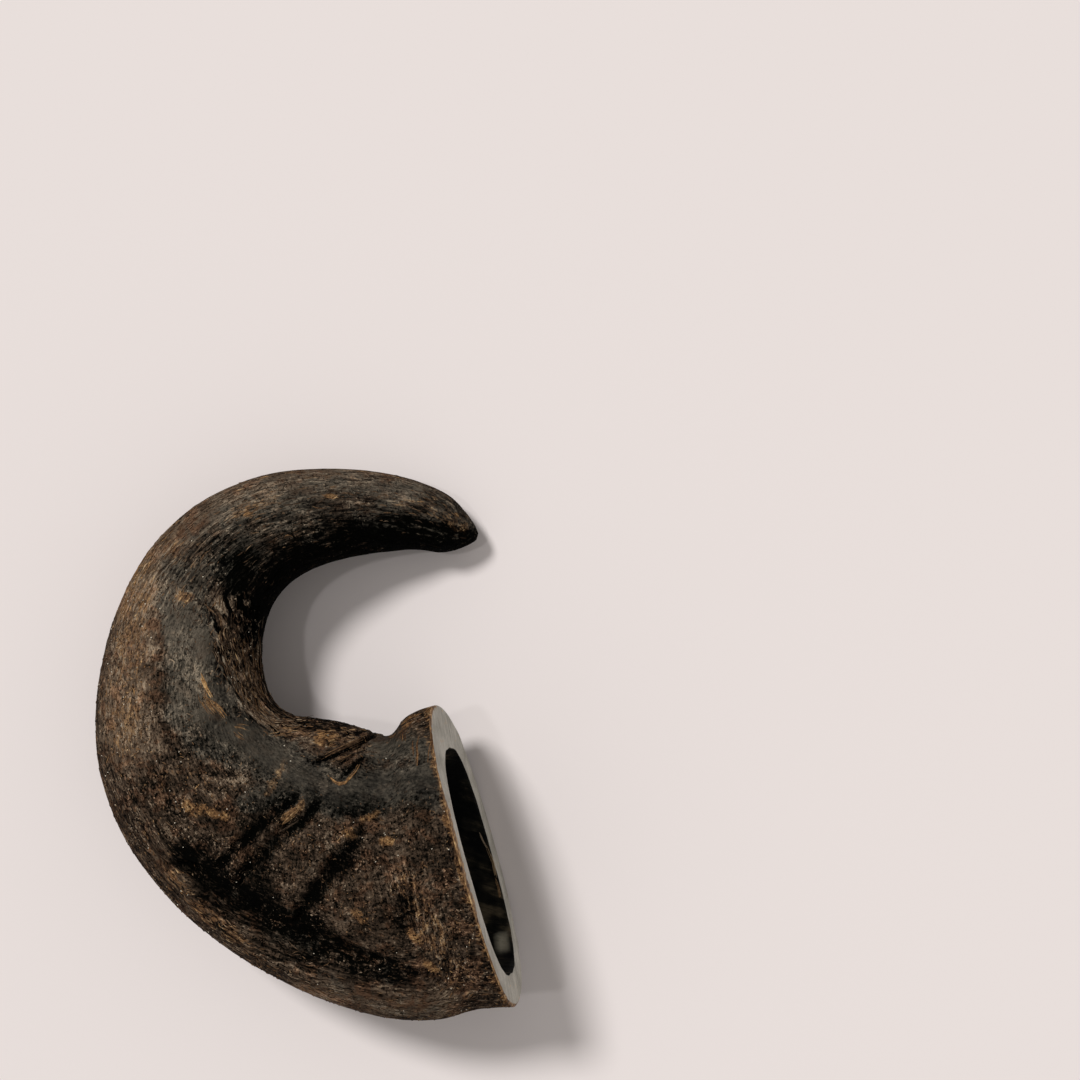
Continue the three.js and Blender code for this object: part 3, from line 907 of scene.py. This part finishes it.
class Nodes:
    """Adds nodes to a material, so that each line of a material reads as a formula."""

    def __init__(self, name):
        self.material = bpy.data.materials.new(name)
        self.material.use_nodes = True
        self.tree = self.material.node_tree
        self.shader = self.tree.nodes["Principled BSDF"]

    def add(self, kind, inputs=(), **settings):
        node = self.tree.nodes.new(kind)
        for key, value in settings.items():
            setattr(node, key, value)
        self.fill(node, dict(inputs))
        return node

    def fill(self, node, inputs):
        """Links or sets inputs, by name or by number."""
        for key, value in inputs.items():
            if isinstance(value, bpy.types.NodeSocket):
                self.tree.links.new(value, node.inputs[key])
            elif value is not None:
                node.inputs[key].default_value = value

    def number(self, name):
        return self.add("ShaderNodeAttribute", attribute_name=name).outputs["Fac"]

    def vector(self, name):
        return self.add("ShaderNodeAttribute", attribute_name=name).outputs["Vector"]

    def math(self, operation, a, b=None, c=None, clamp=False):
        node = self.add("ShaderNodeMath", {0: a, 1: b, 2: c}, operation=operation, use_clamp=clamp)
        return node.outputs[0]

    def times(self, a, b):
        return self.math("MULTIPLY", a, b)

    def strongest(self, first, *others):
        for other in others:
            first = self.math("MAXIMUM", first, other)
        return first

    def divided(self, vector, sizes):
        """A vector, divided by one size, or by a size for each of its directions."""
        inputs = {0: vector, 1: tuple(1 / np.broadcast_to(sizes, 3))}
        return self.add("ShaderNodeVectorMath", inputs, operation="MULTIPLY").outputs[0]

    def millimetres(self):
        """The place on the object, in mm."""
        place = self.add("ShaderNodeTexCoord").outputs["Object"]
        return self.divided(place, MM)

    def turned(self, vector, turn_deg):
        """A vector, turned about X, Y and Z."""
        inputs = {"Vector": vector, "Rotation": tuple(math.radians(turn) for turn in turn_deg)}
        return self.add("ShaderNodeMapping", inputs).outputs["Vector"]

    def noise(self, vector, sizes, detail=3, roughness=0.6, distortion=0):
        """Noise around 0, of about the same strength for every detail and roughness."""
        inputs = {"Vector": self.divided(vector, sizes), "Scale": 1, "Detail": detail,
                  "Roughness": roughness, "Distortion": distortion}
        texture = self.add("ShaderNodeTexNoise", inputs).outputs["Fac"]
        octaves = roughness ** np.arange(detail + 1)
        strength = octaves.sum() / np.linalg.norm(octaves) / ONE_OCTAVE_SPREAD
        return self.math("MULTIPLY_ADD", texture, strength, -strength / 2)

    def total(self, *terms):
        """The sum of (value, weight) pairs. A value of 1.0 makes its weight the constant of the sum."""
        result = 0
        for value, weight in terms:
            result = self.math("MULTIPLY_ADD", value, weight, result)
        return result

    def between(self, value, low, high, to_low=0, to_high=1):
        """Goes smoothly from `to_low`, where the value is `low`, to `to_high`, where it is `high`."""
        inputs = {"Value": value, "From Min": low, "From Max": high, "To Min": to_low, "To Max": to_high}
        return self.add("ShaderNodeMapRange", inputs, interpolation_type="SMOOTHSTEP").outputs["Result"]

    def mix(self, share, a, b):
        """Numbers, mixed."""
        return self.add("ShaderNodeMix", {0: share, 2: a, 3: b}, data_type="FLOAT").outputs[0]

    def blend(self, share, a, b, how="MIX"):
        """Colours, mixed."""
        inputs = {0: share, 6: a, 7: b}
        return self.add("ShaderNodeMix", inputs, data_type="RGBA", blend_type=how).outputs[2]

    def ramp(self, value, *stops):
        node = self.add("ShaderNodeValToRGB", {"Fac": value})
        elements = node.color_ramp.elements
        for _ in stops[2:]:
            elements.new(0.5)
        for element, (position, color) in zip(elements, stops):
            element.position = position
            element.color = color
        return node.outputs["Color"]

    def finish(self, color, roughness, height, bump_mm, specular):
        bump = self.add("ShaderNodeBump", {"Height": height, "Distance": bump_mm * MM})
        self.fill(self.shader, {"Base Color": color, "Roughness": roughness, "Specular IOR Level": specular,
                                "Normal": bump.outputs["Normal"]})
        return self.material


def rgb(red, green, blue):
    """A colour given as it looks on a screen, 0 to 255."""
    def linear(value):
        value /= 255
        return value / 12.92 if value <= 0.04045 else ((value + 0.055) / 1.055) ** 2.4

    return (linear(red), linear(green), linear(blue), 1)


# Colours of one kind of skin from its darkest pits to its lightest grains, each with its place on the ramp.
BROWN_KERATIN = (
    (0.00, rgb(3, 3, 2)), (0.22, rgb(20, 16, 12)), (0.42, rgb(47, 38, 30)),
    (0.60, rgb(74, 61, 50)), (0.80, rgb(108, 92, 76)), (1.00, rgb(160, 142, 121)),
)
GREY_KERATIN = (
    (0.00, rgb(3, 3, 2)), (0.22, rgb(18, 17, 14)), (0.42, rgb(44, 41, 36)),
    (0.60, rgb(68, 63, 55)), (0.80, rgb(98, 90, 79)), (1.00, rgb(148, 135, 117)),
)
TAN_KERATIN = (
    (0.00, rgb(22, 14, 8)), (0.30, rgb(66, 46, 32)), (0.55, rgb(112, 82, 54)),
    (0.80, rgb(156, 120, 79)), (1.00, rgb(208, 174, 126)),
)
SAWN_KERATIN = ((0.20, rgb(150, 147, 137)), (0.80, rgb(198, 195, 185)))
SOCKET = ((0.35, rgb(5, 6, 6)), (0.60, rgb(28, 26, 21)), (0.95, rgb(88, 78, 62)))
SOCKET_GREY = rgb(176, 170, 152)
DUST = rgb(214, 204, 186)
SANDING_TURN = (35, 0, -16)             # degrees, about X, Y and Z
SOCKET_STREAKS_TURN = (0, 0, -160)
REDDISH_TINT = (1.20, 0.93, 0.79, 1)

ONE_OCTAVE_SPREAD = 0.13 / 0.20     # how far one octave of noise spreads, against what is wanted of it


def outside_material():
    """Weathered keratin: mottled brown, tan and grey, fibrous in places, with black furrows. The black of
    furrows, crevices and pits is painted shade, and its tan, pale and grey zones hold painted light and
    painted sheen.
    """
    n = Nodes("weathered_keratin")
    place = n.millimetres()
    grain, bend_place, crest_place = map(n.vector, ("grain", "bend_place", "crest_place"))
    smoothed, grey, blackened_and_painted_shade, tan, ochre, pale, sawn_edge = map(
        n.number, ("smoothed", "grey", "blackened_and_painted_shade", "tan", "ochre", "pale", "sawn_edge"))
    along_grain, bend_grain, body_grain, crest_grain = map(
        n.number, ("along_grain", "bend_grain", "body_grain", "crest_grain"))

    def fibres(width, length, detail, roughness):
        along = n.noise(grain, (width, width, length), detail, roughness)
        bend = n.noise(bend_place, (width, width, length), detail, roughness)
        crest = n.noise(crest_place, (width, width, length), detail, roughness)
        across = n.noise(grain, (length * 0.6, width, width), detail, roughness)
        return n.mix(crest_grain, n.mix(bend_grain, n.mix(body_grain, along, across), bend), crest)

    # Patterns, from the coarsest to the finest.
    patches = n.noise(place, 12)
    worn = n.noise(place, 9, detail=2)
    reddish = n.noise(place, 7, roughness=0.8)
    blots = n.noise(place, 6, roughness=0.7)
    uncovered = n.noise(place, 3.6, roughness=0.75)
    mottle = n.noise(place, 2.6, roughness=0.76)
    long_mottle = fibres(1.5, 6.5, detail=3, roughness=0.8)
    bold_strands = n.between(fibres(1.5, 16.0, detail=1, roughness=0.5), -0.12, 0.22, -0.34, 0.30)
    rusty = fibres(1.2, 3.0, detail=2, roughness=0.7)
    strands = fibres(0.8, 13.0, detail=3, roughness=0.75)
    dashes = fibres(0.65, 1.9, detail=2, roughness=0.75)
    # Dark pits: painted shade in small hollows of the skin.
    pits_with_painted_shade = n.between(n.noise(place, 0.74, detail=1), -0.14, -0.36)
    grains = n.between(n.noise(place, 0.62, detail=1), 0.16, 0.40)
    grains = n.times(grains, n.between(worn, -0.15, 0.25, 0.2, 1.3))

    fibrous = n.strongest(along_grain, bend_grain, body_grain, crest_grain)
    mottle = n.mix(n.math("MAXIMUM", pale, fibrous, clamp=True), mottle, long_mottle)
    blackened_and_painted_shade = n.times(blackened_and_painted_shade, n.between(uncovered, 0.26, -0.12, 0.55, 1.06))
    tan_and_light_blots = n.times(tan, n.between(blots, -0.25, 0.25, 0.4, 1.3))
    sharp_body_grain = n.math("POWER", body_grain, 3.0)
    even = n.strongest(smoothed, along_grain)

    bold = n.total(
        (bend_grain, 1.5), (n.times(along_grain, n.mix(pale, 1.0, 0.2)), 0.28), (sharp_body_grain, 0.3),
    )
    texture = n.total(
        (mottle, n.mix(pale, n.mix(along_grain, n.mix(fibrous, 0.52, 0.42), 0.36), 0.44)),
        (dashes, n.mix(along_grain, 0.50, 0.36)), (grains, 0.28), (pits_with_painted_shade, -0.32),
        (n.times(strands, fibrous), 0.50), (n.times(bold_strands, bold), 1.0),
    )
    contrast = n.total(
        (smoothed, -0.88), (blackened_and_painted_shade, 0.8), (pale, -0.52), (along_grain, -0.22), (worn, 0.5), (1.0, 1.15),
    )
    # In the tone, tan and pale add painted light where the skin faces the light, and the blackened zone
    # takes it down as painted shade.
    tone = n.total(
        (texture, n.strongest(contrast, 0.15)), (patches, n.mix(even, 0.19, 0.11)),
        (n.times(dashes, smoothed), 0.15), (blots, n.mix(even, 0.15, 0.04)), (tan_and_light_blots, 0.17),
        (pale, 0.27), (blackened_and_painted_shade, -0.74), (bend_grain, -0.05), (grey, 0.03), (along_grain, 0.03),
        (1.0, 0.488),
    )

    # The grey zone's grey is partly painted sheen.
    grey_share = n.between(n.total((grey, 1.0), (blots, 0.6), (blackened_and_painted_shade, 0.45)), 0.15, 0.75)
    color = n.blend(grey_share, n.ramp(tone, *BROWN_KERATIN), n.ramp(tone, *GREY_KERATIN))
    reddish_share = n.times(n.between(reddish, 0.0, 0.3), n.mix(grey_share, 0.8, 0.2))
    color = n.blend(reddish_share, color, REDDISH_TINT, how="MULTIPLY")
    warm = n.total(
        (ochre, 0.85), (sharp_body_grain, 0.2), (sawn_edge, 0.8), (mottle, 0.4), (tan_and_light_blots, 0.75),
        (rusty, n.mix(grey_share, 0.9, 0.3)),
    )
    warm_share = n.times(n.between(warm, 0.35, 0.95), n.mix(blackened_and_painted_shade, 0.8, 0.25))
    warm_share = n.times(warm_share, n.mix(smoothed, 1.0, 0.6))
    warm_tone = n.total((texture, n.mix(ochre, 1.3, 1.2)), (ochre, 0.16), (1.0, 0.44))
    color = n.blend(warm_share, color, n.ramp(warm_tone, *TAN_KERATIN))

    height = n.times(texture, n.mix(smoothed, 1.0, 0.15))
    roughness = n.mix(smoothed, 0.9, 0.55)
    return n.finish(color, roughness, height, bump_mm=0.8, specular=0.02)


def sliver_material():
    """The slivers, flakes and dust that stand off the skin: each in its own shade."""
    n = Nodes("keratin_slivers")
    shade, dusty = n.number("shade"), n.number("dusty")
    mottle = n.noise(n.millimetres(), 0.8, detail=2)
    tone = n.total((shade, 1.0), (mottle, 0.4))
    color = n.blend(n.number("warmth"), n.ramp(tone, *BROWN_KERATIN), n.ramp(tone, *TAN_KERATIN))
    color = n.blend(dusty, color, DUST)
    return n.finish(color, 0.8, mottle, bump_mm=0.1, specular=0.05)


def sawn_material():
    """Sanded cut keratin: pale grey, with fine slanting sanding marks."""
    n = Nodes("sawn_keratin")
    place = n.millimetres()
    marks = n.noise(n.turned(place, SANDING_TURN), (3.0, 14.0, 0.35), roughness=0.7)
    clouds = n.noise(place, 7)
    fine = n.noise(place, 0.5, detail=2)
    tone = n.total((marks, 0.7), (clouds, 0.45), (fine, 0.25), (1.0, 0.5))
    height = n.total((marks, 1.0), (fine, 0.4))
    rough_edge = n.noise(place, 1.8, roughness=0.7)
    rim_share = n.between(n.total((n.number("rim"), 1.0), (rough_edge, 0.5)), 0.18, 0.32)
    rim_color = n.ramp(n.total((rough_edge, 0.8), (1.0, 0.62)), *TAN_KERATIN)
    color = n.blend(rim_share, n.ramp(tone, *SAWN_KERATIN), rim_color)
    return n.finish(color, 0.75, height, bump_mm=0.08, specular=0.3)


def hollow_material():
    """The socket's dark wall, with brown streaks, and a greyer stretch near the mouth's lower end."""
    n = Nodes("socket_wall")
    place = n.millimetres()
    turned = n.turned(place, SOCKET_STREAKS_TURN)
    streaks = n.noise(turned, (16, 2.2, 2.2), detail=4, roughness=0.65, distortion=0.5)
    clouds = n.noise(place, 11)
    tone = n.total((streaks, 0.4), (clouds, 0.8), (1.0, 0.43))
    grey_share = n.times(n.number("socket_grey"), n.between(clouds, -0.3, 0.2, 0.35, 1.0))
    color = n.blend(grey_share, n.ramp(tone, *SOCKET), SOCKET_GREY)
    return n.finish(color, 0.85, streaks, bump_mm=0.35, specular=0.1)


# ==== Pieces ====

outside, zones, face, wall = make_skin_rings()
slivers_look = sliver_material()
pieces = [
    make_horn(outside, zones, face, wall, [outside_material(), sawn_material(), hollow_material()]),
    make_slivers(outside, zones, slivers_look),
    make_strands("horn_strands", STRAND_BUNDLES, outside, OUTSIDE_REACH, slivers_look),
    make_strands("socket_strands", SOCKET_STRANDS, wall, SOCKET_REACH, slivers_look),
]
for piece in pieces:
    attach(piece, "root")
    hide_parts("horn")


# ==== Floor, lights and camera ====

FLOOR_SIZE = 6000
FLOOR_COLOR = (0.815, 0.758, 0.752, 1)
SKY_COLOR = (1, 0.965, 0.92, 1)
SKY_STRENGTH = 0.36
CAMERA_PLACE = (62.71, 54.34, 715.5)      # looking straight down
CAMERA_LENS = 85
CAMERA_SENSOR = 36


def make_floor():
    n = Nodes("pale_floor")
    n.fill(n.shader, {"Base Color": FLOOR_COLOR, "Roughness": 0.9, "Specular IOR Level": 0.1})
    half = FLOOR_SIZE / 2
    corners = [(-half, -half, 0), (half, -half, 0), (half, half, 0), (-half, half, 0)]
    floor = make_object("floor", corners, [(0, 1, 2, 3)], [n.material], smooth=False)


def add_sun(name, strength, softness_deg, from_direction, color):
    """Sunlight-like studio light, even all over. `from_direction` points at where it comes from."""
    light = bpy.data.lights.new(name, "SUN")
    light.energy = strength
    light.angle = math.radians(softness_deg)
    light.color = color
    lamp = add_object(name, light)
    lamp.rotation_mode = "QUATERNION"
    lamp.rotation_quaternion = Vector(from_direction).to_track_quat("Z", "Y")


def make_lights():
    add_sun("key_light", strength=2.20, softness_deg=12,
            from_direction=(-0.408, 0.423, 0.809), color=(1.0, 0.985, 0.965))
    add_sun("second_light", strength=0.22, softness_deg=3,
            from_direction=(-0.32, 0.06, 0.95), color=(1.0, 0.99, 0.98))
    world = bpy.data.worlds.new("studio")
    world.use_nodes = True
    background = world.node_tree.nodes["Background"]
    background.inputs["Color"].default_value = SKY_COLOR
    background.inputs["Strength"].default_value = SKY_STRENGTH
    bpy.context.scene.world = world


def make_camera():
    lens = bpy.data.cameras.new("camera")
    lens.lens = CAMERA_LENS
    lens.sensor_width = CAMERA_SENSOR
    lens.clip_start = 0.01
    camera = add_object("camera", lens)
    camera.location = np.array(CAMERA_PLACE) * MM
    bpy.context.scene.camera = camera


make_floor()
make_lights()
make_camera()
bpy.context.scene.view_settings.view_transform = "Standard"
